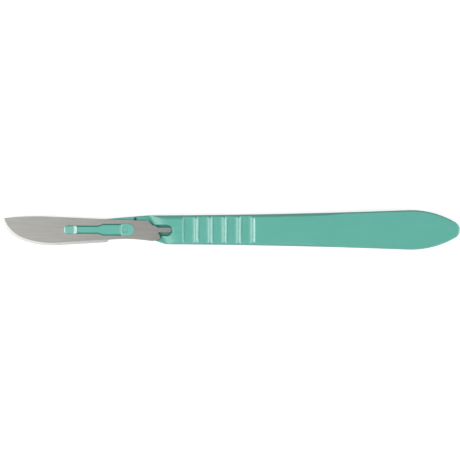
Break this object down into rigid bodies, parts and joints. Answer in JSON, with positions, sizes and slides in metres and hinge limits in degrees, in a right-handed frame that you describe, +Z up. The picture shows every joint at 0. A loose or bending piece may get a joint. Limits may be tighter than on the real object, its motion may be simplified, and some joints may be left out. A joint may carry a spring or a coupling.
{
  "type": "disposable scalpel",
  "caption": "Disposable scalpel with a moulded plastic handle, finger ridges on both faces and a curved steel blade staked to its nose.",
  "frame": {"origin": "on the surface the scalpel lies on, under the middle of its bounding box", "axes": "+X along the handle from the blade's tip to the tail, +Z up through the face that carries the blade, cutting edge towards -Y"},
  "size_m": [0.16, 0.0138, 0.005],
  "materials": {
    "handle": "injection-moulded green plastic, satin",
    "blade": "rolled stainless steel with a finely ground edge"
  },
  "bodies": {
    "root": {"handle": "handle", "blade": "blade"}
  },
  "joints": []
}
